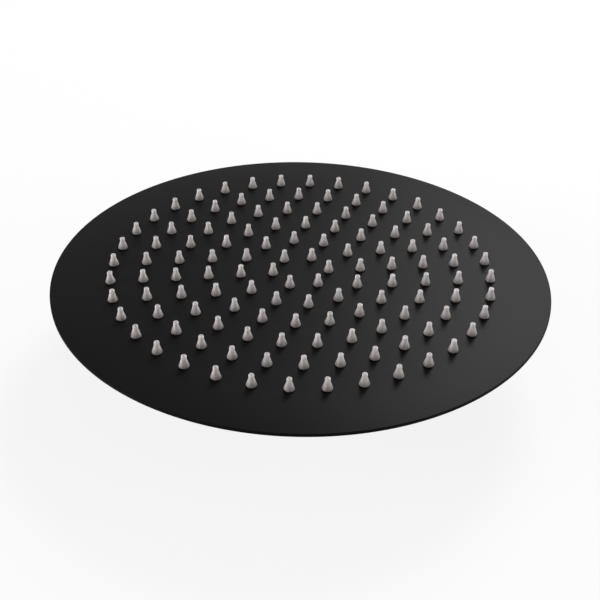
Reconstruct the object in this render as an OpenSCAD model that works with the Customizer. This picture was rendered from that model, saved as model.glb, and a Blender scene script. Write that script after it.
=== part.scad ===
// Round rain shower head, 300 mm across, with a 2 mm edge and 126 soft nozzles.
// It stands as it is photographed: nozzles up, inlet down, origin at the middle of the inlet's mouth.
// From the bottom up: threaded inlet socket, swivel ball, collar nut, boss, back sheet, face sheet.

/* [Sheets] */
// Diameter of the head
head_d = 300; // [260:1:400]
// Thickness of the face sheet
face_t = 1; // [0.7:0.1:1.5]
// Thickness of the back sheet
back_t = 1; // [0.7:0.1:1.5]
// Rounding of the outer edge of each sheet
edge_round = 0.45; // [0.2:0.05:0.6]

/* [Nozzle field] */
// Radius of the innermost ring of nozzles
ring_1_r = 17; // [14:0.5:20]
// Distance from the outermost ring of nozzles to the edge of the head
field_edge = 35.5; // [32:0.5:45]
// Count of nozzles in the innermost ring, and how many more each next ring has
first_ring_count = 6; // [4:1:6]

/* [Nozzles] */
// Height of a nozzle above the face
nozzle_h = 7.4; // [6.5:0.1:9]
// Widest diameter of the nozzle, at the bead round its foot
bead_d = 5.9; // [5.4:0.1:7]
// Rounding of the bead
bead_round = 0.7; // [0.4:0.05:0.8]
// Slope of the cone, in degrees from upright
cone_angle = 19; // [17:1:22]
// Diameter of the tip
tip_d = 2.95; // [2.6:0.05:3.2]
// Rounding where the cone runs into the tip
blend_round = 2; // [1:0.1:2.5]
// Rounding of the tip's end
tip_round = 0.35; // [0.15:0.05:0.5]
// Diameter of the outlet hole
outlet_d = 0.9; // [0.6:0.05:1.2]
// Length of the outlet hole
outlet_l = 1.8; // [1:0.1:2.5]
// Diameter of the water way in the nozzle's foot
throat_d = 2.6; // [2:0.1:3]
// Diameter of the holes in the face sheet
hole_d = 4.2; // [3.8:0.1:4.6]
// Diameter of the nozzle's flange behind the sheet
flange_d = 6.4; // [5.6:0.1:7]
// Thickness of that flange
flange_t = 1; // [0.7:0.1:1.4]

/* [Water space] */
// Distance from the outermost ring of nozzles to the wall of the water space
chamber_margin = 9.5; // [7:0.5:12]
// Width of the pressed step between the water space and the flat rim
step_w = 8; // [6:0.5:10]
// Depth of the water space at its outer edge
depth_edge = 3.5; // [3:0.1:4.5]
// Depth of the water space in the middle
depth_mid = 6.5; // [5:0.1:9]
// Radius of the flat in the middle of the back sheet
pad_r = 24; // [21:0.5:30]
// Diameter of the spacer studs between the sheets
stud_d = 6; // [5:0.5:8]
// Number of spacer studs
stud_count = 6; // [3:1:6]

/* [Swivel] */
// Diameter of the ball
ball_d = 22; // [20:0.5:24]
// Diameter of the neck under the ball
neck_d = 13; // [12:0.5:14]
// Diameter of the water way through the ball
water_d = 9; // [7:0.5:10]
// Height of the ball's centre above the socket
neck_l = 14.5; // [14.5:0.5:20]
// Height of the flange at the foot of the neck
neck_flange_h = 1.5; // [1:0.1:1.5]
// Diameter of that flange
neck_flange_d = 16; // [15.4:0.2:16.4]
// Thickness of the slip ring under the ball
slip_t = 1.2; // [1:0.1:2]
// Lowest edge of the slip ring and of its seat, in degrees below the ball's equator
slip_low = 30; // [26:1:33]
// Highest edge of the slip ring, in degrees below the ball's equator
slip_high = 6; // [5:1:12]
// Section diameter of the ball seal
seal_d = 3; // [2.4:0.1:3.4]
// Clearance on every face that turns on the ball
ball_fit = 0.05; // [0.02:0.01:0.08]
// Play between the boss's cup and the slip ring's seat
cup_play = 0.1; // [0.05:0.05:0.3]

/* [Boss and collar] */
// Outside diameter of the boss's thread
boss_thread_d = 30; // [29:0.5:34]
// Clearance between screwed or pushed-in pieces
screw_fit = 0.05; // [0.02:0.01:0.1]
// How far the boss reaches below the ball's centre
boss_drop = 3; // [2:0.5:3.5]
// Gap between the boss's rim and the ledge in the collar
rim_gap = 0.5; // [0.3:0.1:1]
// Bare thread left between the collar nut and the boss's flange
thread_gap = 1; // [0.5:0.1:2]
// How far the collar nut reaches below the ball's centre
collar_drop = 8; // [7.5:0.1:8.2]
// Width of the collar nut across its flats
collar_flats = 34; // [33:0.5:38]
// Chamfer on the collar nut's edges
collar_chamfer = 2; // [1.5:0.1:2.5]
// Diameter of the boss's flange
boss_flange_d = 38; // [36:0.5:44]
// Thickness of the boss's flange
boss_flange_t = 4; // [3.5:0.1:6]
// Chamfer on the edge of the boss's flange
boss_chamfer = 0.8; // [0.4:0.1:1.2]
// Diameter of the spigot welded into the back sheet
spigot_d = 18; // [16:0.5:20]
// How far the spigot stands into the water space
spigot_lip = 0.6; // [0.3:0.1:1.2]
// Diameter of the water way through the boss
boss_water_d = 12; // [10:0.5:14]

/* [Inlet socket] */
// Bore of the inlet thread, which is its minor diameter
inlet_bore_d = 18.631; // [18.6:0.001:18.7]
// Length of the thread's wall
thread_l = 9; // [8:0.5:12]
// Diameter of the relief groove behind the thread
relief_d = 21.2; // [21:0.1:21.6]
// Length of the relief groove
relief_l = 2.5; // [2.5:0.1:3]
// Width of the socket across its flats
socket_flats = 25; // [24.5:0.5:30]
// Chamfer on the socket's edges
socket_chamfer = 1.2; // [0.8:0.1:1.6]
// Diameter of the ball's stem in the socket
stem_d = 12; // [11.4:0.1:12.4]
// Length of the ball's stem in the socket
stem_l = 5; // [4.5:0.5:8]
// Section diameter of the seal round the stem
stem_seal_d = 1.4; // [1:0.1:1.6]

/* [Washer, screen and regulator] */
// Thickness of the inlet washer
washer_t = 2.4; // [2:0.1:2.5]
// How much wider the washer is than the thread's bore, so that it stays in
washer_grip = 0.8; // [0.4:0.1:1.2]
// Diameter of the washer's hole
washer_hole_d = 12.6; // [11:0.1:13]
// Diameter of the filter screen
screen_d = 15; // [14:0.1:16]
// Thickness of the filter screen
screen_t = 0.5; // [0.3:0.1:0.7]
// Width of one opening of the screen
mesh_gap = 0.9; // [0.7:0.05:1]
// Distance between the screen's wires
mesh_pitch = 1.3; // [1.2:0.05:1.5]
// Diameter of the flow regulator
regulator_d = 14.6; // [14:0.1:15]
// Height of the flow regulator
regulator_h = 3.4; // [3:0.1:4.5]
// Clearance round the flow regulator and in its depth
regulator_play = 0.15; // [0.05:0.05:0.3]
// Wall of the flow regulator
regulator_wall = 1.4; // [1:0.1:1.6]
// Floor of the flow regulator
regulator_floor = 1; // [0.8:0.1:1.2]
// Diameter of the regulator's hub
hub_d = 4.4; // [4:0.1:5]
// Section diameter of the regulator's rubber ring
flex_d = 1.8; // [1.6:0.1:2]
// Number of ports in the regulator's floor
port_count = 8; // [6:1:8]

/* [Hidden] */
$fn = 96;
RING_COUNT = 6;
BLACK = "#1f1e20";
NOZZLE_GREY = "#a7a09a";
NICKEL = "#b9b4aa";
RUBBER = "#151515";
ACETAL = "#e6e4dc";
STEEL = "#9a9c9f";
PLASTIC = "#4d9a68";

// Heights, from the inlet's mouth up
floor_z = thread_l + socket_chamfer + relief_l;
recess_h = regulator_h + regulator_play;
socket_h = floor_z + recess_h + stem_l;
ball_z = socket_h + neck_l;
collar_low_z = ball_z - collar_drop;
ledge_z = ball_z - boss_drop - rim_gap;
boss_low_z = ball_z - boss_drop;

// Radii round the ball, from the ball out
ball_r = ball_d / 2;
slip_in_r = ball_r + ball_fit;
slip_out_r = slip_in_r + slip_t;
seat_r = slip_out_r + ball_fit;
cup_r = seat_r + cup_play;

// The seal touches the ball, the wall of the cup and the cup's ceiling
seal_r = seal_d / 2;
seal_ring_r = cup_r - ball_fit - seal_r;
seal_from_centre = ball_r + ball_fit + seal_r;
seal_rise = sqrt(seal_from_centre * seal_from_centre - seal_ring_r * seal_ring_r);
ceiling_z = ball_z + seal_rise + seal_r + ball_fit;

// Above the ceiling, the cup leaves room for the top of the ball at any tilt
crown_room = 0.6;
crown_r = sqrt(ball_r * ball_r - (ceiling_z - ball_z) * (ceiling_z - ball_z)) + crown_room;
crown_z = ball_z + ball_r + crown_room;
roof_t = 0.9;
boss_top_z = crown_z + roof_t;
boss_flange_z = boss_top_z - boss_flange_t;
collar_top_z = boss_flange_z - thread_gap;
collar_h = collar_top_z - collar_low_z;

// The sheets
head_r = head_d / 2;
pad_z = boss_top_z;
face_low_z = pad_z + back_t + depth_mid;
face_z = face_low_z + face_t;
seam_z = face_low_z;
ring_last_r = head_r - field_edge;
ring_pitch = (ring_last_r - ring_1_r) / (RING_COUNT - 1);
chamber_r = ring_last_r + chamber_margin;
land_r = chamber_r + step_w;
spigot_hole_r = spigot_d / 2 + screw_fit;

// Radius of one ring of nozzles
function ring_r(k) = ring_1_r + ring_pitch * (k - 1);

// Points on an arc, for the outlines
function arc(cx, cy, r, from, to, steps) =
    [for (i = [0:steps]) let (a = from + (to - from) * i / steps) [cx + r * cos(a), cy + r * sin(a)]];

// Height of the inside of the back sheet at radius r, outside the middle flat
function chamber_floor(r) =
    face_low_z - depth_mid + (depth_mid - depth_edge) * (r - pad_r) / (chamber_r - pad_r);

// Heights of a sheet pressed in a smooth S from one radius to the next
function s_curve(r_in, z_in, r_out, z_out, steps) =
    [for (i = [0:steps]) let (t = i / steps)
        [r_in + (r_out - r_in) * t, z_in + (z_out - z_in) * (1 - cos(180 * t)) / 2]];

module move_up(z) {
    translate([0, 0, z]) children();
}

module ring_of(count, radius, first = 0) {
    for (i = [0:count - 1])
        rotate(first + 360 * i / count) translate([radius, 0, 0]) children();
}

// Face sheet: a flat disc with rounded edge, punched once for each nozzle
module face_plate() {
    color(BLACK)
        difference() {
            move_up(face_low_z)
                rotate_extrude()
                    polygon(concat(
                        [[0, 0], [head_r, 0]],
                        arc(head_r - edge_round, face_t - edge_round, edge_round, 0, 90, 4),
                        [[0, face_t]]));
            for (k = [1:RING_COUNT])
                ring_of(first_ring_count * k, ring_r(k))
                    move_up(face_low_z - face_t)
                        cylinder(d = hole_d, h = 3 * face_t, $fn = 32);
        }
}

// Back sheet: a pressed dish with a flat rim, a step, a slight cone and a flat pad round the inlet
function dish_points() = concat(
    [[spigot_hole_r, pad_z + back_t], [pad_r, pad_z + back_t]],
    s_curve(chamber_r, face_low_z - depth_edge, land_r, seam_z, 8));
module back_plate() {
    inside = dish_points();
    outside = [for (i = [len(inside) - 1:-1:0]) [inside[i][0], inside[i][1] - back_t]];
    color(BLACK)
        rotate_extrude()
            polygon(concat(
                inside,
                [[head_r, seam_z]],
                arc(head_r - edge_round, seam_z - back_t + edge_round, edge_round, 0, -90, 4),
                outside));
}

// Spacer studs: short posts welded between the sheets, so that they don't bulge under water pressure
module spacer_studs() {
    stud_ring_r = (ring_r(3) + ring_r(4)) / 2;
    stud_r = stud_d / 2;
    color(STEEL)
        intersection() {
            ring_of(stud_count, stud_ring_r, 30)
                move_up(pad_z) cylinder(r = stud_r, h = face_low_z - pad_z);
            rotate_extrude()
                polygon([
                    [stud_ring_r - stud_d, chamber_floor(stud_ring_r - stud_d)],
                    [stud_ring_r + stud_d, chamber_floor(stud_ring_r + stud_d)],
                    [stud_ring_r + stud_d, face_low_z],
                    [stud_ring_r - stud_d, face_low_z]]);
        }
}

// One nozzle, from its flange behind the sheet to its tip, on a sheet whose top is at height 0
module nozzle() {
    bead_r = bead_d / 2;
    tip_r = tip_d / 2;
    neck_r = hole_d / 2 - screw_fit;
    cone_low_r = bead_r - bead_round * (1 - cos(cone_angle));
    cone_low_z = bead_round * (1 + sin(cone_angle));
    cone_top_r = tip_r + blend_round * (1 - cos(cone_angle));
    cone_top_z = cone_low_z + (cone_low_r - cone_top_r) / tan(cone_angle);
    tip_low_z = cone_top_z + blend_round * sin(cone_angle);
    rotate_extrude($fn = 32)
        polygon(concat(
            [[throat_d / 2, -face_t - flange_t], [flange_d / 2, -face_t - flange_t]],
            [[flange_d / 2, -face_t], [neck_r, -face_t], [neck_r, 0]],
            arc(bead_r - bead_round, bead_round, bead_round, -90, cone_angle, 5),
            arc(tip_r + blend_round, tip_low_z, blend_round, 180 + cone_angle, 180, 3),
            arc(tip_r - tip_round, nozzle_h - tip_round, tip_round, 0, 90, 2),
            [[outlet_d / 2, nozzle_h], [outlet_d / 2, nozzle_h - outlet_l]]));
}

module nozzle_ring(k) {
    color(NOZZLE_GREY)
        ring_of(first_ring_count * k, ring_r(k)) move_up(face_z) nozzle();
}

// Boss: turned brass, welded in the back sheet, with a cup for the ball and a thread outside
module inlet_boss() {
    color(BLACK)
        rotate_extrude()
            polygon([
                [cup_r, boss_low_z],
                [boss_thread_d / 2, boss_low_z],
                [boss_thread_d / 2, boss_flange_z],
                [boss_flange_d / 2 - boss_chamfer, boss_flange_z],
                [boss_flange_d / 2, boss_flange_z + boss_chamfer],
                [boss_flange_d / 2, boss_top_z],
                [spigot_d / 2, boss_top_z],
                [spigot_d / 2, pad_z + back_t + spigot_lip],
                [boss_water_d / 2, pad_z + back_t + spigot_lip],
                [boss_water_d / 2, crown_z],
                [crown_r, crown_z],
                [crown_r, ceiling_z],
                [cup_r, ceiling_z]]);
}

// Collar nut: six flats and turned edges outside, a thread above the ledge, a round seat below it
module collar_nut() {
    corner_r = collar_flats / 2 / cos(30) - collar_chamfer / 2;
    mouth_r = seat_r * cos(slip_low);
    mouth_z = ball_z - seat_r * sin(slip_low);
    color(BLACK)
        difference() {
            intersection() {
                move_up(collar_low_z)
                    cylinder(r = collar_flats / 2 / cos(30), h = collar_h, $fn = 6);
                rotate_extrude()
                    polygon([
                        [0, collar_low_z],
                        [corner_r - collar_chamfer, collar_low_z],
                        [corner_r, collar_low_z + collar_chamfer],
                        [corner_r, collar_top_z - collar_chamfer / 2],
                        [corner_r - collar_chamfer, collar_top_z],
                        [0, collar_top_z]]);
            }
            move_up(ledge_z)
                cylinder(r = boss_thread_d / 2 + screw_fit, h = collar_h);
            move_up(ball_z) sphere(r = seat_r);
            rotate_extrude()
                polygon([
                    [0, collar_low_z - 1],
                    [mouth_r + (mouth_z - collar_low_z + 1) / 2, collar_low_z - 1],
                    [mouth_r, mouth_z],
                    [0, mouth_z]]);
        }
}

// Slip ring: a band of a hollow ball, which the collar nut presses on the swivel ball
module slip_ring() {
    reach = 2 * slip_out_r;
    color(ACETAL)
        move_up(ball_z)
            rotate_extrude()
                intersection() {
                    difference() {
                        circle(r = slip_out_r);
                        circle(r = slip_in_r);
                    }
                    polygon([
                        [0, 0],
                        [reach * cos(slip_low), -reach * sin(slip_low)],
                        [reach * cos(slip_high), -reach * sin(slip_high)]]);
                }
}

// Ball seal: a rubber ring between the ball and the boss's cup
module ball_seal() {
    color(RUBBER)
        move_up(ball_z + seal_rise)
            rotate_extrude() translate([seal_ring_r, 0]) circle(r = seal_r, $fn = 48);
}

// Swivel ball: ball, neck, flange and stem turned in one piece, with a water way through it
module swivel_ball() {
    color(NICKEL)
        difference() {
            union() {
                move_up(ball_z) sphere(r = ball_r);
                move_up(socket_h) cylinder(d = neck_d, h = neck_l);
                move_up(socket_h) cylinder(d = neck_flange_d, h = neck_flange_h);
                move_up(socket_h - stem_l) cylinder(d = stem_d, h = stem_l + neck_flange_h);
            }
            move_up(socket_h - stem_l - 1) cylinder(d = water_d, h = stem_l + neck_l + ball_r + 2);
        }
}

// Inlet socket: six flats, the pipe thread's bore, its relief, the regulator's recess, the stem's hole
module inlet_socket() {
    corner_r = socket_flats / 2 / cos(30) - socket_chamfer / 2;
    seal_pocket_r = stem_d / 2 + screw_fit + stem_seal_d;
    color(BLACK)
        difference() {
            intersection() {
                cylinder(r = socket_flats / 2 / cos(30), h = socket_h, $fn = 6);
                rotate_extrude()
                    polygon([
                        [0, 0],
                        [corner_r - socket_chamfer, 0],
                        [corner_r, socket_chamfer],
                        [corner_r, socket_h - socket_chamfer],
                        [corner_r - socket_chamfer, socket_h],
                        [0, socket_h]]);
            }
            move_up(-1) cylinder(d = inlet_bore_d, h = floor_z + 1);
            move_up(-socket_chamfer)
                cylinder(d1 = inlet_bore_d + 4 * socket_chamfer, d2 = inlet_bore_d, h = 2 * socket_chamfer);
            move_up(floor_z - relief_l) cylinder(d = relief_d, h = relief_l);
            move_up(floor_z - 1) cylinder(d = regulator_d + 2 * regulator_play, h = recess_h + 1);
            cylinder(r = stem_d / 2 + screw_fit, h = socket_h + 1);
            move_up(socket_h - stem_seal_d) cylinder(r = seal_pocket_r, h = stem_seal_d + 1);
        }
}

// Stem seal: a rubber ring in the socket's top, under the flange of the swivel ball
module stem_seal() {
    color(RUBBER)
        move_up(socket_h - stem_seal_d / 2)
            rotate_extrude()
                translate([(stem_d + stem_seal_d) / 2, 0]) circle(d = stem_seal_d, $fn = 32);
}

// Inlet washer: a flat rubber ring against the socket's floor, with a slot that holds the screen
module inlet_washer() {
    washer_d = inlet_bore_d + washer_grip;
    color(RUBBER)
        move_up(floor_z - washer_t)
            difference() {
                cylinder(d = washer_d, h = washer_t);
                move_up(-1) cylinder(d = washer_hole_d, h = washer_t + 2);
                move_up((washer_t - screen_t) / 2) cylinder(d = screen_d, h = screen_t);
            }
}

// Filter screen: a steel disc with a square mesh, held by its edge in the washer
module filter_screen() {
    reach = floor((washer_hole_d / 2 - mesh_gap) / mesh_pitch);
    color(STEEL)
        move_up(floor_z - (washer_t + screen_t) / 2)
            difference() {
                cylinder(d = screen_d, h = screen_t);
                for (i = [-reach:reach])
                    for (j = [-reach:reach])
                        if (norm([i, j]) * mesh_pitch + mesh_gap < washer_hole_d / 2)
                            translate([i * mesh_pitch, j * mesh_pitch, screen_t / 2])
                                cube([mesh_gap, mesh_gap, 2 * screen_t], center = true);
            }
}

// Flow regulator: a cup with a hub and a ring of ports, open to the inlet
module flow_regulator() {
    regulator_r = regulator_d / 2;
    groove_r = (hub_d / 2 + regulator_r - regulator_wall) / 2;
    port_d = 1.6;
    color(PLASTIC)
        move_up(floor_z)
            difference() {
                cylinder(r = regulator_r, h = regulator_h);
                difference() {
                    move_up(-1) cylinder(r = regulator_r - regulator_wall, h = regulator_h - regulator_floor + 1);
                    move_up(-2) cylinder(d = hub_d, h = regulator_h + 2);
                }
                ring_of(port_count, groove_r)
                    move_up(-1) cylinder(d = port_d, h = regulator_h + 2);
            }
}

// Regulator ring: the rubber ring that narrows the ports as the pressure rises
module regulator_ring() {
    color(RUBBER)
        move_up(floor_z + regulator_h - regulator_floor - flex_d / 2)
            rotate_extrude() translate([(hub_d + flex_d) / 2, 0]) circle(d = flex_d, $fn = 32);
}

face_plate();
back_plate();
spacer_studs();
nozzle_ring(1);  // nozzle_ring_1
nozzle_ring(2);  // nozzle_ring_2
nozzle_ring(3);  // nozzle_ring_3
nozzle_ring(4);  // nozzle_ring_4
nozzle_ring(5);  // nozzle_ring_5
nozzle_ring(6);  // nozzle_ring_6
inlet_boss();
collar_nut();
slip_ring();
ball_seal();
swivel_ball();
inlet_socket();
stem_seal();
inlet_washer();
filter_screen();
flow_regulator();
regulator_ring();
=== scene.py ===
# A round rain shower head, 300 mm across, standing on its inlet with the nozzles up.
from math import cos, pi, radians, sin, sqrt, tan

import bmesh
import bpy
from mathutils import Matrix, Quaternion, Vector, noise


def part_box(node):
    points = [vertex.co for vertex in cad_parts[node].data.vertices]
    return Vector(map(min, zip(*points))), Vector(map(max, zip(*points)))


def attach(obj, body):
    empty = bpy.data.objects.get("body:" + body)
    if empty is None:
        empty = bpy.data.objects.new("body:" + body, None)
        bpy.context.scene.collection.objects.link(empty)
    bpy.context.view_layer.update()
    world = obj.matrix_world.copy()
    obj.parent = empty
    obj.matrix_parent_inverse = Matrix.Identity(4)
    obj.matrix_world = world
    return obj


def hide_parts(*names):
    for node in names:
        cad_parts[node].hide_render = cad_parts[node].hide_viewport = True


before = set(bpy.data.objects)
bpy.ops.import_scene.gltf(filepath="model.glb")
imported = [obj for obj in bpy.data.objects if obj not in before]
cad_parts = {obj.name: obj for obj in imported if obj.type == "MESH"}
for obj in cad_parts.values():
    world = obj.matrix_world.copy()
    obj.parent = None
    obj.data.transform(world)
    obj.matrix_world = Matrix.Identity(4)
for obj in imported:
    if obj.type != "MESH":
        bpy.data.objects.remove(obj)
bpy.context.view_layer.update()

MM = 0.001


# Face sheet.
# A flat disc of 1 mm stainless steel, punched with one hole for each nozzle and coated matt black.
# Its edge is rounded on top and laid on the back sheet's rim, so the whole edge is 2 mm thick.
FACE_LOW, FACE_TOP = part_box("face_plate")[0].z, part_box("face_plate")[1].z
HEAD_R = 150 * MM
EDGE_ROUND = 0.45 * MM
SEAM_CHAMFER = 0.08 * MM
HOLE_R = 2.1 * MM
RINGS = 6
FIRST_RING = 17 * MM
RING_PITCH = 19.5 * MM
NOZZLES_PER_RING = 6
RIM_STEPS = 288
HOLE_STEPS = 20


def nozzle_places(ring):
    """Centres of the nozzles in one ring, counted from 1 in the middle."""
    count = NOZZLES_PER_RING * ring
    radius = FIRST_RING + RING_PITCH * (ring - 1)
    return [(radius * cos(2 * pi * i / count), radius * sin(2 * pi * i / count)) for i in range(count)]


def arc(x, y, radius, start, end, steps):
    """Points on an arc about (x, y), from one angle to another in degrees."""
    turn = (radians(start + (end - start) * i / steps) for i in range(steps + 1))
    return [(x + radius * cos(a), y + radius * sin(a)) for a in turn]


def to_object(name, mesh_maker, sharp=35):
    """Ends a bmesh as an object with smooth faces and crisp edges."""
    bmesh.ops.recalc_face_normals(mesh_maker, faces=mesh_maker.faces)
    mesh = bpy.data.meshes.new(name)
    mesh_maker.to_mesh(mesh)
    mesh_maker.free()
    mesh.shade_smooth()
    mesh.set_sharp_from_angle(angle=radians(sharp))
    piece = bpy.data.objects.new(name, mesh)
    bpy.context.scene.collection.objects.link(piece)
    return piece


def circle_of(maker, x, y, z, radius, steps):
    """A closed loop of vertices round (x, y)."""
    return [maker.verts.new((x + radius * cos(2 * pi * i / steps), y + radius * sin(2 * pi * i / steps), z))
            for i in range(steps)]


def join_loops(maker, low, high):
    """Quads between two loops with as many vertices."""
    count = len(low)
    for i in range(count):
        j = (i + 1) % count
        maker.faces.new((low[i], low[j], high[j], high[i]))


def close_loop(maker, loop):
    """The edges round a loop, made where they are missing."""
    ends = zip(loop, loop[1:] + loop[:1])
    return [maker.edges.get(pair) or maker.edges.new(pair) for pair in ends]


def make_face_sheet():
    maker = bmesh.new()
    rim = [(HEAD_R - SEAM_CHAMFER, FACE_LOW), (HEAD_R, FACE_LOW + SEAM_CHAMFER)]
    rim += arc(HEAD_R - EDGE_ROUND, FACE_TOP - EDGE_ROUND, EDGE_ROUND, 0, 90, 6)
    rim_loops = [circle_of(maker, 0, 0, z, r, RIM_STEPS) for r, z in rim]
    for low, high in zip(rim_loops, rim_loops[1:]):
        join_loops(maker, low, high)
    bottom = close_loop(maker, rim_loops[0])
    top = close_loop(maker, rim_loops[-1])
    for ring in range(1, RINGS + 1):
        for x, y in nozzle_places(ring):
            low = circle_of(maker, x, y, FACE_LOW, HOLE_R, HOLE_STEPS)
            high = circle_of(maker, x, y, FACE_TOP, HOLE_R, HOLE_STEPS)
            join_loops(maker, low, high)
            bottom += close_loop(maker, low)
            top += close_loop(maker, high)
    bmesh.ops.triangle_fill(maker, edges=bottom, use_beauty=True)
    bmesh.ops.triangle_fill(maker, edges=top, use_beauty=True)
    return to_object("face_sheet", maker)


def add_node(tree, kind, **settings):
    """A shader node, with sockets set by name and other properties by attribute."""
    made = tree.nodes.new(kind)
    for key, value in settings.items():
        label = key.replace("_", " ")
        if label in made.inputs:
            made.inputs[label].default_value = value
        else:
            setattr(made, key, value)
    return made


def new_material(name):
    """A material with a Principled shader, and its node tree."""
    made = bpy.data.materials.new(name)
    made.use_nodes = True
    tree = made.node_tree
    tree.nodes.clear()
    shader = tree.nodes.new("ShaderNodeBsdfPrincipled")
    output = tree.nodes.new("ShaderNodeOutputMaterial")
    tree.links.new(shader.outputs["BSDF"], output.inputs["Surface"])
    return made, tree, shader


def new_group(name, inputs, outputs):
    """An empty node group. Inputs are (name, default) pairs, outputs are (name, socket kind) pairs."""
    tree = bpy.data.node_groups.new(name, "ShaderNodeTree")
    for label, default in inputs:
        socket = tree.interface.new_socket(label, in_out="INPUT", socket_type="NodeSocketFloat")
        socket.default_value = default
    for label, kind in outputs:
        tree.interface.new_socket(label, in_out="OUTPUT", socket_type=kind)
    return tree, tree.nodes.new("NodeGroupInput"), tree.nodes.new("NodeGroupOutput")


def make_coat_grain():
    """The orange-peel of a sprayed and baked coat: fine height, slow mottling of tone and of roughness."""
    tree, given, result = new_group(
        "coat_grain",
        [("Grain per metre", 1500), ("Mottle per metre", 40), ("Dark", 0.9), ("Light", 1.1),
         ("Roughness", 0.5)],
        [("Height", "NodeSocketFloat"), ("Tone", "NodeSocketFloat"), ("Roughness", "NodeSocketFloat")])
    place = tree.nodes.new("ShaderNodeTexCoord")
    grain = add_node(tree, "ShaderNodeTexNoise", Detail=3.0, Roughness=0.6)
    mottle = add_node(tree, "ShaderNodeTexNoise", Detail=2.0, Roughness=0.5)
    tone = tree.nodes.new("ShaderNodeMapRange")
    rough = add_node(tree, "ShaderNodeMath", operation="MULTIPLY_ADD")
    half = add_node(tree, "ShaderNodeMath", operation="SUBTRACT")
    link = tree.links.new
    link(place.outputs["Object"], grain.inputs["Vector"])
    link(place.outputs["Object"], mottle.inputs["Vector"])
    link(given.outputs["Grain per metre"], grain.inputs["Scale"])
    link(given.outputs["Mottle per metre"], mottle.inputs["Scale"])
    link(mottle.outputs["Fac"], tone.inputs["Value"])
    link(given.outputs["Dark"], tone.inputs["To Min"])
    link(given.outputs["Light"], tone.inputs["To Max"])
    link(grain.outputs["Fac"], half.inputs[0])
    half.inputs[1].default_value = 0.5
    link(half.outputs["Value"], rough.inputs[0])
    rough.inputs[1].default_value = 0.12
    link(given.outputs["Roughness"], rough.inputs[2])
    link(grain.outputs["Fac"], result.inputs["Height"])
    link(tone.outputs["Result"], result.inputs["Tone"])
    link(rough.outputs["Value"], result.inputs["Roughness"])
    return tree


COAT_GRAIN = make_coat_grain()
COAT_BLACK = (0.004, 0.0038, 0.004)
COAT_BLACK_LIGHT = (0.0054, 0.0051, 0.0054)


def make_coat(name, dark, light, level, roughness, grain_per_metre, depth):
    """A black coat on metal, whose tone, roughness and height all follow its grain."""
    made, tree, shader = new_material(name)
    grain = tree.nodes.new("ShaderNodeGroup")
    grain.node_tree = COAT_GRAIN
    grain.inputs["Grain per metre"].default_value = grain_per_metre
    grain.inputs["Dark"].default_value = 0
    grain.inputs["Light"].default_value = 1
    grain.inputs["Roughness"].default_value = roughness
    colour = add_node(tree, "ShaderNodeMix", data_type="RGBA")
    colour.inputs["A"].default_value = (*dark, 1)
    colour.inputs["B"].default_value = (*light, 1)
    bump = add_node(tree, "ShaderNodeBump", Strength=0.35, Distance=depth)
    link = tree.links.new
    link(grain.outputs["Tone"], colour.inputs["Factor"])
    link(colour.outputs["Result"], shader.inputs["Base Color"])
    link(grain.outputs["Roughness"], shader.inputs["Roughness"])
    link(grain.outputs["Height"], bump.inputs["Height"])
    link(bump.outputs["Normal"], shader.inputs["Normal"])
    shader.inputs["Specular IOR Level"].default_value = level
    return made


SHEET_COAT = make_coat("matt_black_coat", COAT_BLACK, COAT_BLACK_LIGHT, 0.025, 0.4, 1800, 0.02 * MM)


def fit(piece, material, body, slot, *nodes):
    """Gives a piece its material and its body, and hides the solids that it stands for. The slot argument is
    not used.
    """
    piece.data.materials.append(material)
    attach(piece, body)
    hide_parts(*nodes)
    return piece


fit(make_face_sheet(), SHEET_COAT, "head", "black_coat", "face_plate")


# Nozzles.
# Soft translucent grey silicone cones, each pushed through its hole from behind and held by a flange.
# The water leaves through a 0.9 mm hole in the tip, which a finger can rub clean of lime.
BEAD_R = 2.95 * MM
BEAD_ROUND = 0.7 * MM
TIP_R = 1.475 * MM
TIP_ROUND = 0.35 * MM
BLEND_ROUND = 2 * MM
CONE_ANGLE = 19
NOZZLE_H = 7.4 * MM
FLANGE_R = 3.2 * MM
FLANGE_T = 1 * MM
FLANGE_CHAMFER = 0.15 * MM
THROAT_R = 1.3 * MM
OUTLET_R = 0.45 * MM
OUTLET_ROUND = 0.12 * MM
OUTLET_L = 1.8 * MM
NOZZLE_NECK_R = HOLE_R - 0.05 * MM
LEAN = 0.7
LEAN_SPREAD = 7 * MM
SIDEWAYS_SEED = Vector((9, 4, 2))
NOZZLE_STEPS = 32
# Base colours by height, with painted shade: darkest at the foot by the black sheet, lighter up the cone,
# lightest at the tip, and darker again on the flat top face.
SILICONE_FOOT_PAINTED_SHADE = (0.12, 0.104, 0.1)
SILICONE_CONE = (0.46, 0.425, 0.41)
SILICONE_TIP = (0.66, 0.635, 0.64)
SILICONE_TOP_PAINTED_SHADE = (0.38, 0.365, 0.365)


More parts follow.
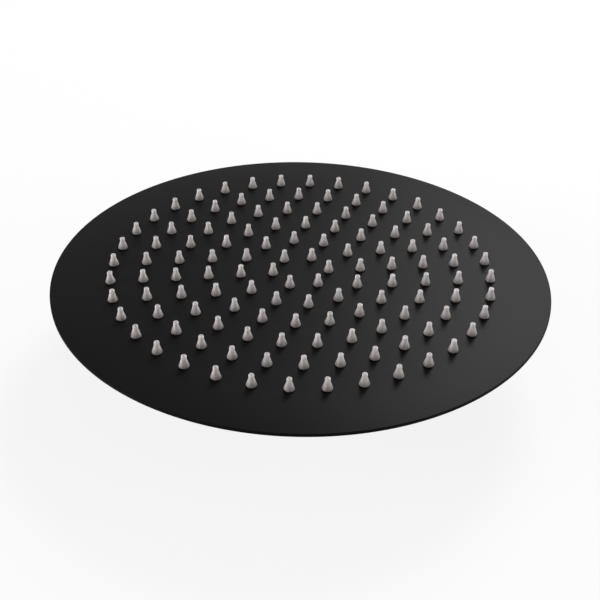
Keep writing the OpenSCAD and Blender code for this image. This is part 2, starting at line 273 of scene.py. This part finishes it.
def nozzle_outline():
    """The nozzle's section as (radius, height above the face), from its flange round to its throat."""
    sheet = FACE_TOP - FACE_LOW
    slope = radians(CONE_ANGLE)
    low_r = BEAD_R - BEAD_ROUND * (1 - cos(slope))
    low_z = BEAD_ROUND * (1 + sin(slope))
    top_r = TIP_R + BLEND_ROUND * (1 - cos(slope))
    top_z = low_z + (low_r - top_r) / tan(slope)
    blend_z = top_z + BLEND_ROUND * sin(slope)
    low = -sheet - FLANGE_T
    points = [(THROAT_R, low), (FLANGE_R - FLANGE_CHAMFER, low), (FLANGE_R, low + FLANGE_CHAMFER)]
    points += [(FLANGE_R, -sheet), (NOZZLE_NECK_R, -sheet), (NOZZLE_NECK_R, 0)]
    points += arc(BEAD_R - BEAD_ROUND, BEAD_ROUND, BEAD_ROUND, -90, CONE_ANGLE, 9)
    points += arc(TIP_R + BLEND_ROUND, blend_z, BLEND_ROUND, 180 + CONE_ANGLE, 180, 5)
    points += arc(TIP_R - TIP_ROUND, NOZZLE_H - TIP_ROUND, TIP_ROUND, 0, 90, 5)
    points += arc(OUTLET_R + OUTLET_ROUND, NOZZLE_H - OUTLET_ROUND, OUTLET_ROUND, 90, 180, 3)
    points += [(OUTLET_R, NOZZLE_H - OUTLET_L)]
    return points


def make_nozzle_ring(ring):
    maker = bmesh.new()
    outline = nozzle_outline()
    for x, y in nozzle_places(ring):
        seed = Vector((x, y, 0)) / LEAN_SPREAD
        lean = Quaternion((1, 0, 0), radians(LEAN * noise.noise(seed)))
        lean = lean @ Quaternion((0, 1, 0), radians(LEAN * noise.noise(seed + SIDEWAYS_SEED)))
        loops = []
        for r, z in outline:
            loop = circle_of(maker, 0, 0, z, r, NOZZLE_STEPS)
            for vert in loop:
                bent = lean @ vert.co if z > 0 else vert.co
                vert.co = bent + Vector((x, y, FACE_TOP))
            loops.append(loop)
        for low, high in zip(loops, loops[1:] + loops[:1]):
            join_loops(maker, low, high)
    return to_object(f"nozzles_ring_{ring}", maker)


def make_silicone():
    """Silicone: cloudy, streaked along each nozzle by the mould, with painted shade by height that darkens
    it towards the foot and on the flat top face.
    """
    made, tree, shader = new_material("nozzle_silicone")
    place = tree.nodes.new("ShaderNodeTexCoord")
    parts = tree.nodes.new("ShaderNodeSeparateXYZ")
    height = tree.nodes.new("ShaderNodeMapRange")
    height.inputs["From Min"].default_value = FACE_TOP
    height.inputs["From Max"].default_value = FACE_TOP + NOZZLE_H
    # A ramp by height paints shade into the colour: dark at the foot, light at the tip, darker on the top
    # face.
    ramp = tree.nodes.new("ShaderNodeValToRGB")
    stops = [(0.0, SILICONE_FOOT_PAINTED_SHADE), (0.5, SILICONE_CONE), (0.95, SILICONE_TIP), (1.0, SILICONE_TOP_PAINTED_SHADE)]
    for _ in stops[2:]:
        ramp.color_ramp.elements.new(0.5)
    for element, (at, colour) in zip(ramp.color_ramp.elements, stops):
        element.position = at
        element.color = (*colour, 1)
    stretch = tree.nodes.new("ShaderNodeMapping")
    stretch.inputs["Scale"].default_value = (1, 1, 0.12)
    streak = add_node(tree, "ShaderNodeTexNoise", Scale=700.0, Detail=2.0)
    shade = tree.nodes.new("ShaderNodeMapRange")
    shade.inputs["From Min"].default_value = 0.3
    shade.inputs["From Max"].default_value = 0.7
    shade.inputs["To Min"].default_value = 0.84
    shade.inputs["To Max"].default_value = 1.14
    tint = add_node(tree, "ShaderNodeMix", data_type="RGBA", blend_type="MULTIPLY")
    tint.inputs["Factor"].default_value = 1
    bump = add_node(tree, "ShaderNodeBump", Strength=0.25, Distance=0.05 * MM)
    link = tree.links.new
    link(place.outputs["Object"], parts.inputs["Vector"])
    link(parts.outputs["Z"], height.inputs["Value"])
    link(height.outputs["Result"], ramp.inputs["Fac"])
    link(place.outputs["Object"], stretch.inputs["Vector"])
    link(stretch.outputs["Vector"], streak.inputs["Vector"])
    link(streak.outputs["Fac"], shade.inputs["Value"])
    link(ramp.outputs["Color"], tint.inputs["A"])
    link(shade.outputs["Result"], tint.inputs["B"])
    link(tint.outputs["Result"], shader.inputs["Base Color"])
    link(streak.outputs["Fac"], bump.inputs["Height"])
    link(bump.outputs["Normal"], shader.inputs["Normal"])
    shader.inputs["Roughness"].default_value = 0.45
    shader.inputs["Specular IOR Level"].default_value = 0.35
    shader.inputs["Subsurface Weight"].default_value = 1
    shader.inputs["Subsurface Radius"].default_value = (1.0, 0.94, 0.9)
    shader.inputs["Subsurface Scale"].default_value = 1.6 * MM
    return made


SILICONE = make_silicone()
for ring in range(1, RINGS + 1):
    fit(make_nozzle_ring(ring), SILICONE, "head", "nozzle_silicone", f"nozzle_ring_{ring}")


# Back sheet.
# A 1 mm stainless disc pressed to a shallow dish: flat rim, smooth step, slight cone and a flat pad.
# It is seam-welded to the face sheet round the edge, ground flush and coated with it.
BACK_T = 1 * MM
LAND_R = 132 * MM
CHAMBER_R = 124 * MM
PAD_R = 24 * MM
DEPTH_EDGE = 3.5 * MM
PAD_HOLE_R = 9.05 * MM
BACK_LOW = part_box("back_plate")[0].z
PAD_TOP = BACK_LOW + BACK_T


def lathe(name, outline, steps, shape=None, sharp=35):
    """Turns a closed outline of (radius, height) points round Z. shape may change a radius by angle."""
    maker = bmesh.new()
    loops = []
    for r, z in outline:
        if shape is None:
            loops.append(circle_of(maker, 0, 0, z, r, steps))
            continue
        loop = []
        for i in range(steps):
            angle = 2 * pi * i / steps
            reach = shape(r, z, angle)
            loop.append(maker.verts.new((reach * cos(angle), reach * sin(angle), z)))
        loops.append(loop)
    for low, high in zip(loops, loops[1:] + loops[:1]):
        join_loops(maker, low, high)
    return to_object(name, maker, sharp)


def make_back_sheet():
    inside = [(PAD_HOLE_R, PAD_TOP), (PAD_R, PAD_TOP)]
    chamber_z = FACE_LOW - DEPTH_EDGE
    steps = 20
    for i in range(steps + 1):
        t = i / steps
        rise = (FACE_LOW - chamber_z) * (1 - cos(pi * t)) / 2
        inside.append((CHAMBER_R + (LAND_R - CHAMBER_R) * t, chamber_z + rise))
    outside = [(r, z - BACK_T) for r, z in reversed(inside)]
    rim = [(HEAD_R - SEAM_CHAMFER, FACE_LOW), (HEAD_R, FACE_LOW - SEAM_CHAMFER)]
    rim += arc(HEAD_R - EDGE_ROUND, FACE_LOW - BACK_T + EDGE_ROUND, EDGE_ROUND, 0, -90, 6)
    return lathe("back_sheet", inside + rim + outside, RIM_STEPS, sharp=50)


fit(make_back_sheet(), SHEET_COAT, "head", "black_coat", "back_plate")


# Boss.
# Turned brass, coated black: a flange welded to the back sheet, and below it the collar nut's thread.
# Its cup holds the ball seal and the top of the ball.
BOSS_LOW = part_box("inlet_boss")[0].z
BALL_Z = BOSS_LOW + 3 * MM
BOSS_TOP = PAD_TOP - BACK_T
BOSS_FLANGE_R = 19 * MM
BOSS_FLANGE_LOW = BOSS_TOP - 4 * MM
BOSS_CHAMFER = 0.8 * MM
THREAD_R = 15 * MM
CUP_R = 12.4 * MM
CUP_H = 10.857 * MM
CEILING = BOSS_LOW + CUP_H
CROWN_R = 8.3 * MM
CROWN_Z = BOSS_TOP - 0.9 * MM
SPIGOT_R = 9 * MM
WATER_R = 6 * MM
SPIGOT_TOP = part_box("inlet_boss")[1].z
WELD = 1.2 * MM
COLLAR_PITCH = 1.5 * MM
COLLAR_THREAD_DEPTH = 0.8 * MM
THREAD_SLOPE = 1.3
THREAD_FLAT = 0.15
ROWS_PER_TURN = 8
FITTING_STEPS = 144
HAIR = 0.01 * MM


def rows(start, end, spacing):
    """Heights from start to end, evenly spaced."""
    count = max(1, round(abs(end - start) / spacing))
    return [start + (end - start) * i / count for i in range(count + 1)]


def thread_wave(z, angle, pitch):
    """0 at a thread's crest and 1 at its root, with small flats on both."""
    turn = (z / pitch - angle / (2 * pi)) % 1
    return min(1, max(0, THREAD_SLOPE * abs(2 * turn - 1) - THREAD_FLAT))


def boss_shape(r, z, angle):
    """Cuts the collar nut's thread where the outline runs at its radius, shallow at both ends."""
    if abs(r - THREAD_R) > HAIR:
        return r
    fade = min(1, (z - BOSS_LOW) / COLLAR_PITCH, (BOSS_FLANGE_LOW - z) / COLLAR_PITCH)
    return r - COLLAR_THREAD_DEPTH * fade * thread_wave(z, angle, COLLAR_PITCH)


def make_boss():
    thread = [(THREAD_R, z) for z in rows(BOSS_LOW, BOSS_FLANGE_LOW, COLLAR_PITCH / ROWS_PER_TURN)]
    flange = [(BOSS_FLANGE_R - BOSS_CHAMFER, BOSS_FLANGE_LOW)]
    flange += [(BOSS_FLANGE_R, BOSS_FLANGE_LOW + BOSS_CHAMFER)]
    weld = arc(BOSS_FLANGE_R + WELD, BOSS_TOP - WELD, WELD, 180, 90, 6)
    inner = [(SPIGOT_R, BOSS_TOP), (SPIGOT_R, SPIGOT_TOP), (WATER_R, SPIGOT_TOP), (WATER_R, CROWN_Z)]
    inner += [(CROWN_R, CROWN_Z), (CROWN_R, CEILING), (CUP_R, CEILING), (CUP_R, BOSS_LOW)]
    return lathe("boss", thread + flange + weld + inner, FITTING_STEPS, boss_shape)


FITTING_COAT = make_coat("satin_black_fitting", (0.006, 0.0058, 0.006), (0.011, 0.0105, 0.0108),
                         0.25, 0.38, 900, 0.012 * MM)
fit(make_boss(), FITTING_COAT, "head", "black_fitting", "inlet_boss")


# Collar nut.
# A hexagon with turned ends, coated black, screwed up the boss until it grips the ball. Its lip is a
# round seat, from SEAT_HIGH to SLIP_LOW degrees below the ball's middle, and its mouth flares out.
COLLAR_LOW, COLLAR_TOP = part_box("collar_nut")[0].z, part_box("collar_nut")[1].z
COLLAR_FLATS = 34 * MM
COLLAR_CHAMFER = 2 * MM
SEAT_R = 12.3 * MM
SLIP_LOW = 30
SEAT_HIGH = 16.5
MOUTH_R = SEAT_R * cos(radians(SLIP_LOW))
MOUTH_Z = BALL_Z - SEAT_R * sin(radians(SLIP_LOW))
LEDGE = BOSS_LOW - 0.5 * MM
SLACK = 0.05 * MM


def hexagon(flats):
    """A shape for lathe that cuts six flats on whatever reaches past them."""
    def cut(r, z, angle):
        off = (angle + pi / 6) % (pi / 3) - pi / 6
        return min(r, flats / 2 / cos(off))
    return cut


def chamfered(r, low, high, chamfer, top_share=1.0, steps=10):
    """Outline up the outside of a turned piece with both edges chamfered, in fine steps."""
    upper = chamfer * top_share
    points = [(r - chamfer + chamfer * i / steps, low + chamfer * i / steps) for i in range(steps + 1)]
    points += [(r - chamfer * i / steps, high - upper + upper * i / steps) for i in range(steps + 1)]
    return points


def make_collar():
    corner_r = COLLAR_FLATS / 2 / cos(pi / 6) - COLLAR_CHAMFER / 2
    outside = chamfered(corner_r, COLLAR_LOW, COLLAR_TOP, COLLAR_CHAMFER, 0.5)
    bore = THREAD_R + SLACK
    seat_top = sqrt(SEAT_R ** 2 - (BALL_Z - LEDGE) ** 2)
    inside = [(bore, COLLAR_TOP), (bore, LEDGE), (seat_top, LEDGE)]
    inside += arc(0, BALL_Z, SEAT_R, -SEAT_HIGH, -SLIP_LOW, 8)
    inside += [(MOUTH_R + (MOUTH_Z - COLLAR_LOW) / 2, COLLAR_LOW)]
    cut = hexagon(COLLAR_FLATS)
    return lathe("collar", outside + inside, FITTING_STEPS, cut, sharp=25)


fit(make_collar(), FITTING_COAT, "head", "black_fitting", "collar_nut")


# Slip ring and ball seal.
# A white acetal band that lets the ball turn in the collar nut, and a rubber ring that keeps the water in.
# Both are pressed between the ball and the head, and nothing else holds them.
BALL_R = 11 * MM
SLIP_HIGH = 6


def make_slip_ring():
    inner, outer = BALL_R + SLACK, SEAT_R - SLACK
    outline = arc(0, BALL_Z, outer, -SLIP_LOW, -SLIP_HIGH, 8)
    outline += arc(0, BALL_Z, inner, -SLIP_HIGH, -SLIP_LOW, 8)
    return lathe("slip_band", outline, FITTING_STEPS)


def make_plain(name, colour, other, roughness, scale, level=0.5):
    """Rubber or plastic: two near tones in soft clouds, and a fine skin."""
    made, tree, shader = new_material(name)
    place = tree.nodes.new("ShaderNodeTexCoord")
    cloud = add_node(tree, "ShaderNodeTexNoise", Scale=scale, Detail=3.0)
    mix = add_node(tree, "ShaderNodeMix", data_type="RGBA")
    mix.inputs["A"].default_value = (*colour, 1)
    mix.inputs["B"].default_value = (*other, 1)
    bump = add_node(tree, "ShaderNodeBump", Strength=0.2, Distance=0.02 * MM)
    link = tree.links.new
    link(place.outputs["Object"], cloud.inputs["Vector"])
    link(cloud.outputs["Fac"], mix.inputs["Factor"])
    link(mix.outputs["Result"], shader.inputs["Base Color"])
    link(cloud.outputs["Fac"], bump.inputs["Height"])
    link(bump.outputs["Normal"], shader.inputs["Normal"])
    shader.inputs["Roughness"].default_value = roughness
    shader.inputs["Specular IOR Level"].default_value = level
    return made


def dress(node, material):
    """Gives a solid that is shown as it is its material."""
    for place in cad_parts[node].material_slots:
        place.material = material


ACETAL = make_plain("white_acetal", (0.72, 0.71, 0.67), (0.8, 0.79, 0.75), 0.35, 600.0)
RUBBER = make_plain("black_rubber", (0.012, 0.012, 0.012), (0.022, 0.021, 0.02), 0.6, 900.0, 0.3)
fit(make_slip_ring(), ACETAL, "slip", "white_acetal", "slip_ring")
dress("ball_seal", RUBBER)


# Swivel ball.
# Ball, neck, flange and stem turned from one brass bar and nickel-plated, with a water way through them.
# Its round runs from NECK_ANGLE off the lower pole to MOUTH_ANGLE off the upper one.
SOCKET_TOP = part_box("inlet_socket")[1].z
NECK_R = 6.5 * MM
NECK_FLANGE_R = 8 * MM
NECK_FLANGE_H = 1.5 * MM
STEM_R = 6 * MM
STEM_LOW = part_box("swivel_ball")[0].z
BORE_R = 4.5 * MM
NECK_FILLET = 0.9 * MM
MOUTH_ROUND = 0.3 * MM
NECK_ANGLE = 36.6
MOUTH_ANGLE = 25.6


def make_ball():
    flange_top = SOCKET_TOP + NECK_FLANGE_H
    edge = 0.25 * MM
    neck_meets = sqrt(BALL_R ** 2 - NECK_R ** 2)
    points = [(BORE_R, STEM_LOW), (STEM_R - edge, STEM_LOW), (STEM_R, STEM_LOW + edge), (STEM_R, SOCKET_TOP)]
    points += [(NECK_FLANGE_R - edge, SOCKET_TOP), (NECK_FLANGE_R, SOCKET_TOP + edge)]
    points += [(NECK_FLANGE_R, flange_top - edge), (NECK_FLANGE_R - edge, flange_top)]
    points += arc(NECK_R + NECK_FILLET, flange_top + NECK_FILLET, NECK_FILLET, -90, -180, 5)
    points += [(NECK_R, BALL_Z - neck_meets)]
    points += arc(0, BALL_Z, BALL_R, NECK_ANGLE - 90, 90 - MOUTH_ANGLE, 44)
    mouth_top = sqrt(BALL_R ** 2 - (BORE_R + MOUTH_ROUND) ** 2)
    points += [(BORE_R, BALL_Z + mouth_top - MOUTH_ROUND)]
    return lathe("ball", points, FITTING_STEPS)


def make_turned(name, dark, light, roughness, rings_per_metre, depth):
    """Turned metal: fine rings round the Z axis, uneven in tone and roughness."""
    made, tree, shader = new_material(name)
    place = tree.nodes.new("ShaderNodeTexCoord")
    squeeze = tree.nodes.new("ShaderNodeMapping")
    squeeze.inputs["Scale"].default_value = (0.02, 0.02, 1)
    lines = add_node(tree, "ShaderNodeTexNoise", Scale=float(rings_per_metre), Detail=4.0)
    mix = add_node(tree, "ShaderNodeMix", data_type="RGBA")
    mix.inputs["A"].default_value = (*dark, 1)
    mix.inputs["B"].default_value = (*light, 1)
    rough = add_node(tree, "ShaderNodeMapRange")
    rough.inputs["To Min"].default_value = roughness * 0.7
    rough.inputs["To Max"].default_value = roughness * 1.4
    bump = add_node(tree, "ShaderNodeBump", Strength=0.3, Distance=depth)
    link = tree.links.new
    link(place.outputs["Object"], squeeze.inputs["Vector"])
    link(squeeze.outputs["Vector"], lines.inputs["Vector"])
    link(lines.outputs["Fac"], mix.inputs["Factor"])
    link(mix.outputs["Result"], shader.inputs["Base Color"])
    link(lines.outputs["Fac"], rough.inputs["Value"])
    link(rough.outputs["Result"], shader.inputs["Roughness"])
    link(lines.outputs["Fac"], bump.inputs["Height"])
    link(bump.outputs["Normal"], shader.inputs["Normal"])
    shader.inputs["Metallic"].default_value = 1
    return made


NICKEL = make_turned("nickel_plate", (0.5, 0.47, 0.43), (0.66, 0.63, 0.58), 0.24, 4000, 0.01 * MM)
fit(make_ball(), NICKEL, "inlet", "nickel_plate", "swivel_ball")


# Inlet socket.
# A hexagon with turned ends, coated black, with a female pipe thread of 14 turns an inch left bare.
# The pipe's end presses on the washer, and the stem of the ball is screwed into the other end.
SOCKET_FLATS = 25 * MM
SOCKET_CHAMFER = 1.2 * MM
INLET_R = 9.3155 * MM
PIPE_PITCH = 25.4 / 14 * MM
PIPE_THREAD_DEPTH = 1.16 * MM
THREAD_END = SOCKET_CHAMFER + 9 * MM
RELIEF_R = 10.6 * MM
FLOOR_Z = THREAD_END + 2.5 * MM
RECESS_R = 7.45 * MM
RECESS_TOP = STEM_LOW
SEAL_POCKET_R = 7.45 * MM
SEAL_POCKET_H = 1.4 * MM


def socket_shape(r, z, angle):
    """Cuts the pipe thread where the outline runs at its radius, and the hexagon elsewhere."""
    if abs(r - INLET_R) < HAIR:
        fade = min(1, (THREAD_END - z) / (PIPE_PITCH / 2) + 0.15)
        return r + PIPE_THREAD_DEPTH * max(0, fade) * thread_wave(z, angle, PIPE_PITCH)
    return hexagon(SOCKET_FLATS)(r, z, angle)


def make_socket():
    corner_r = SOCKET_FLATS / 2 / cos(pi / 6) - SOCKET_CHAMFER / 2
    outside = chamfered(corner_r, 0, SOCKET_TOP, SOCKET_CHAMFER)
    stem_r = STEM_R + SLACK
    pocket_z = SOCKET_TOP - SEAL_POCKET_H
    inside = [(SEAL_POCKET_R, SOCKET_TOP), (SEAL_POCKET_R, pocket_z)]
    inside += [(stem_r, pocket_z), (stem_r, RECESS_TOP)]
    inside += [(RECESS_R, RECESS_TOP), (RECESS_R, FLOOR_Z), (RELIEF_R, FLOOR_Z), (RELIEF_R, THREAD_END)]
    inside += [(INLET_R, z) for z in rows(THREAD_END, SOCKET_CHAMFER, PIPE_PITCH / ROWS_PER_TURN)]
    inside += [(INLET_R + SOCKET_CHAMFER, 0)]
    return lathe("socket", outside + inside, FITTING_STEPS, socket_shape, sharp=25)


BARE_BRASS = make_turned("bare_brass", (0.52, 0.38, 0.17), (0.72, 0.55, 0.28), 0.28, 3000, 0.01 * MM)
socket = fit(make_socket(), FITTING_COAT, "inlet", "black_fitting", "inlet_socket")
socket.data.materials.append(BARE_BRASS)
for face in socket.data.polygons:
    middle = face.center
    if middle.xy.length < RELIEF_R + 2 * HAIR and middle.z < FLOOR_Z + HAIR:
        face.material_index = 1
dress("stem_seal", RUBBER)


# Washer, screen and regulator.
# A rubber washer with a woven steel screen in its slot, against the socket's floor.
# Behind the screen, a green regulator and its rubber ring hold back too much water.
WASHER_LOW, WASHER_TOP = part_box("inlet_washer")[0].z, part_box("inlet_washer")[1].z
WASHER_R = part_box("inlet_washer")[1].x
WASHER_HOLE_R = 6.3 * MM
WASHER_STEPS = 96
SCREEN_R = 7.5 * MM
SCREEN_LOW, SCREEN_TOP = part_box("filter_screen")[0].z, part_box("filter_screen")[1].z
WIRE_PITCH = 0.65 * MM
WIRE_R = (SCREEN_TOP - SCREEN_LOW) / 4
WIRE_SIDES = 6


def make_washer():
    soft = 0.3 * MM
    outline = arc(WASHER_HOLE_R + soft, WASHER_LOW + soft, soft, 180, 270, 3)
    outline += arc(WASHER_R - soft, WASHER_LOW + soft, soft, 270, 360, 3)
    outline += [(WASHER_R, WASHER_TOP), (WASHER_HOLE_R, WASHER_TOP)]
    outline += [(WASHER_HOLE_R, SCREEN_TOP), (SCREEN_R, SCREEN_TOP)]
    outline += [(SCREEN_R, SCREEN_LOW), (WASHER_HOLE_R, SCREEN_LOW)]
    return lathe("washer", outline, WASHER_STEPS)


def add_wire(maker, offset, along_x, phase):
    """One wire of the screen, waving over and under the wires that cross it."""
    middle = (SCREEN_LOW + SCREEN_TOP) / 2
    reach = sqrt(max(0, (SCREEN_R - WIRE_R) ** 2 - offset ** 2))
    loops = []
    for s in rows(-reach, reach, WIRE_PITCH / 4):
        wave = WIRE_R * cos(pi * (s / WIRE_PITCH + phase))
        loop = []
        for i in range(WIRE_SIDES):
            a = 2 * pi * i / WIRE_SIDES
            across = offset + WIRE_R * cos(a)
            height = middle + wave + WIRE_R * sin(a)
            loop.append(maker.verts.new((s, across, height) if along_x else (across, s, height)))
        loops.append(loop)
    for low, high in zip(loops, loops[1:]):
        join_loops(maker, low, high)
    maker.faces.new(loops[0])
    maker.faces.new(loops[-1])


def make_screen():
    maker = bmesh.new()
    reach = int((SCREEN_R - 3 * WIRE_R) / WIRE_PITCH)
    for i in range(-reach, reach + 1):
        add_wire(maker, i * WIRE_PITCH, True, i)
        add_wire(maker, i * WIRE_PITCH, False, i + 1)
    return to_object("screen_mesh", maker)


STEEL = make_turned("bare_steel", (0.42, 0.42, 0.43), (0.62, 0.62, 0.63), 0.3, 2500, 0.01 * MM)
GREEN = make_plain("green_plastic", (0.06, 0.3, 0.14), (0.08, 0.36, 0.17), 0.4, 500.0)
fit(make_washer(), RUBBER, "inlet", "black_rubber", "inlet_washer")
fit(make_screen(), STEEL, "inlet", "bare_steel", "filter_screen")
dress("flow_regulator", GREEN)
dress("regulator_ring", RUBBER)
dress("spacer_studs", STEEL)


# Floor.
# A plain pale floor at the inlet's mouth, nearly white where it is seen, and clear from below.
# A share of plain shading, which fades out with distance, keeps the soft shadow.
FLOOR_SIZE = 12
FLOOR_PALE = 0.8
FLOOR_SHADOW = 0.15
SHADOW_FROM = 0.3
SHADOW_TO = 1.2


def seen(tree):
    """1 for camera, glossy and transmission rays, and 0 for the rays that light the object."""
    path = tree.nodes.new("ShaderNodeLightPath")
    first = add_node(tree, "ShaderNodeMath", operation="MAXIMUM")
    second = add_node(tree, "ShaderNodeMath", operation="MAXIMUM")
    tree.links.new(path.outputs["Is Camera Ray"], first.inputs[0])
    tree.links.new(path.outputs["Is Glossy Ray"], first.inputs[1])
    tree.links.new(first.outputs["Value"], second.inputs[0])
    tree.links.new(path.outputs["Is Transmission Ray"], second.inputs[1])
    return second.outputs["Value"]


def make_floor():
    maker = bmesh.new()
    bmesh.ops.create_grid(maker, x_segments=1, y_segments=1, size=FLOOR_SIZE / 2)
    floor = to_object("floor", maker)
    made = bpy.data.materials.new("pale_floor")
    made.use_nodes = True
    tree = made.node_tree
    tree.nodes.clear()
    plain = add_node(tree, "ShaderNodeBsdfDiffuse", Color=(FLOOR_PALE, FLOOR_PALE, FLOOR_PALE, 1))
    white = add_node(tree, "ShaderNodeEmission", Color=(1, 1, 1, 1), Strength=1.0)
    clear = tree.nodes.new("ShaderNodeBsdfTransparent")
    place = tree.nodes.new("ShaderNodeTexCoord")
    reach = add_node(tree, "ShaderNodeVectorMath", operation="LENGTH")
    fade = tree.nodes.new("ShaderNodeMapRange")
    fade.inputs["From Min"].default_value = SHADOW_FROM
    fade.inputs["From Max"].default_value = SHADOW_TO
    fade.inputs["To Min"].default_value = 1 - FLOOR_SHADOW
    fade.inputs["To Max"].default_value = 1
    share = add_node(tree, "ShaderNodeMath", operation="MULTIPLY")
    mix = tree.nodes.new("ShaderNodeMixShader")
    side = tree.nodes.new("ShaderNodeNewGeometry")
    both = tree.nodes.new("ShaderNodeMixShader")
    output = tree.nodes.new("ShaderNodeOutputMaterial")
    link = tree.links.new
    link(place.outputs["Object"], reach.inputs[0])
    link(reach.outputs["Value"], fade.inputs["Value"])
    link(seen(tree), share.inputs[0])
    link(fade.outputs["Result"], share.inputs[1])
    link(share.outputs["Value"], mix.inputs["Fac"])
    link(plain.outputs["BSDF"], mix.inputs[1])
    link(white.outputs["Emission"], mix.inputs[2])
    link(side.outputs["Backfacing"], both.inputs["Fac"])
    link(mix.outputs["Shader"], both.inputs[1])
    link(clear.outputs["BSDF"], both.inputs[2])
    link(both.outputs["Shader"], output.inputs["Surface"])
    floor.data.materials.append(made)


make_floor()


# Light.
# An even pale room, a large soft lamp behind the object to the right, whose sheen crosses the face,
# and two low ones at the left and the right that light the sides of the nozzles.
ROOM_LEVEL = 0.25
LAMP_DISTANCE = 2


def make_room():
    world = bpy.data.worlds.new("room")
    bpy.context.scene.world = world
    world.use_nodes = True
    tree = world.node_tree
    background = tree.nodes["Background"]
    background.inputs["Color"].default_value = (1, 1, 1, 1)
    level = tree.nodes.new("ShaderNodeMapRange")
    level.inputs["To Min"].default_value = ROOM_LEVEL
    level.inputs["To Max"].default_value = 1
    tree.links.new(seen(tree), level.inputs["Value"])
    tree.links.new(level.outputs["Result"], background.inputs["Strength"])


def soft_lamp(name, azimuth, elevation, size, watts):
    """A square lamp that faces the head. Azimuth 0 is at -Y and 90 at +X."""
    a, e = radians(azimuth), radians(elevation)
    way = Vector((sin(a) * cos(e), -cos(a) * cos(e), sin(e)))
    data = bpy.data.lights.new(name, "AREA")
    data.size = size
    data.energy = watts
    lamp = bpy.data.objects.new(name, data)
    lamp.location = Vector((0, 0, FACE_TOP)) + way * LAMP_DISTANCE
    lamp.rotation_mode = "QUATERNION"
    lamp.rotation_quaternion = way.to_track_quat("Z", "Y")
    bpy.context.scene.collection.objects.link(lamp)


make_room()
soft_lamp("sheen_lamp", 150, 40, 0.8, 34)
soft_lamp("left_lamp", -80, 10, 1.2, 44)
soft_lamp("right_lamp", 72, 10, 1.2, 28)


# Camera.
# The photograph's own view: 32 degrees above the face and about 0.67 m from its middle.
# A pixel place is where the middle of the face falls in the photograph, of 600 pixels a side.
PHOTO_SIDE = 600
FOCAL_PX = 1095.5
FACE_MIDDLE_PX = (300.95, 272.6)
AZIMUTH = -7.52
ELEVATION = 32.2
ROLL = -1.12
DISTANCE = 666.6 * MM
SENSOR = 36


def make_camera():
    data = bpy.data.cameras.new("photo_view")
    data.sensor_width = SENSOR
    data.lens = SENSOR * FOCAL_PX / PHOTO_SIDE
    camera = bpy.data.objects.new("photo_view", data)
    a, e = radians(AZIMUTH), radians(ELEVATION)
    back = Vector((sin(a) * cos(e), -cos(a) * cos(e), sin(e)))
    aim = Vector((FACE_MIDDLE_PX[0] - PHOTO_SIDE / 2, PHOTO_SIDE / 2 - FACE_MIDDLE_PX[1], -FOCAL_PX))
    look = (-back).to_track_quat("-Z", "Y")
    roll = Quaternion((0, 0, 1), radians(ROLL))
    swing = Vector((0, 0, -1)).rotation_difference(aim)
    camera.rotation_mode = "QUATERNION"
    camera.rotation_quaternion = look @ (swing @ roll).inverted()
    camera.location = Vector((0, 0, FACE_TOP)) + back * DISTANCE
    bpy.context.scene.collection.objects.link(camera)
    bpy.context.scene.camera = camera


make_camera()
bpy.context.scene.view_settings.view_transform = "Standard"
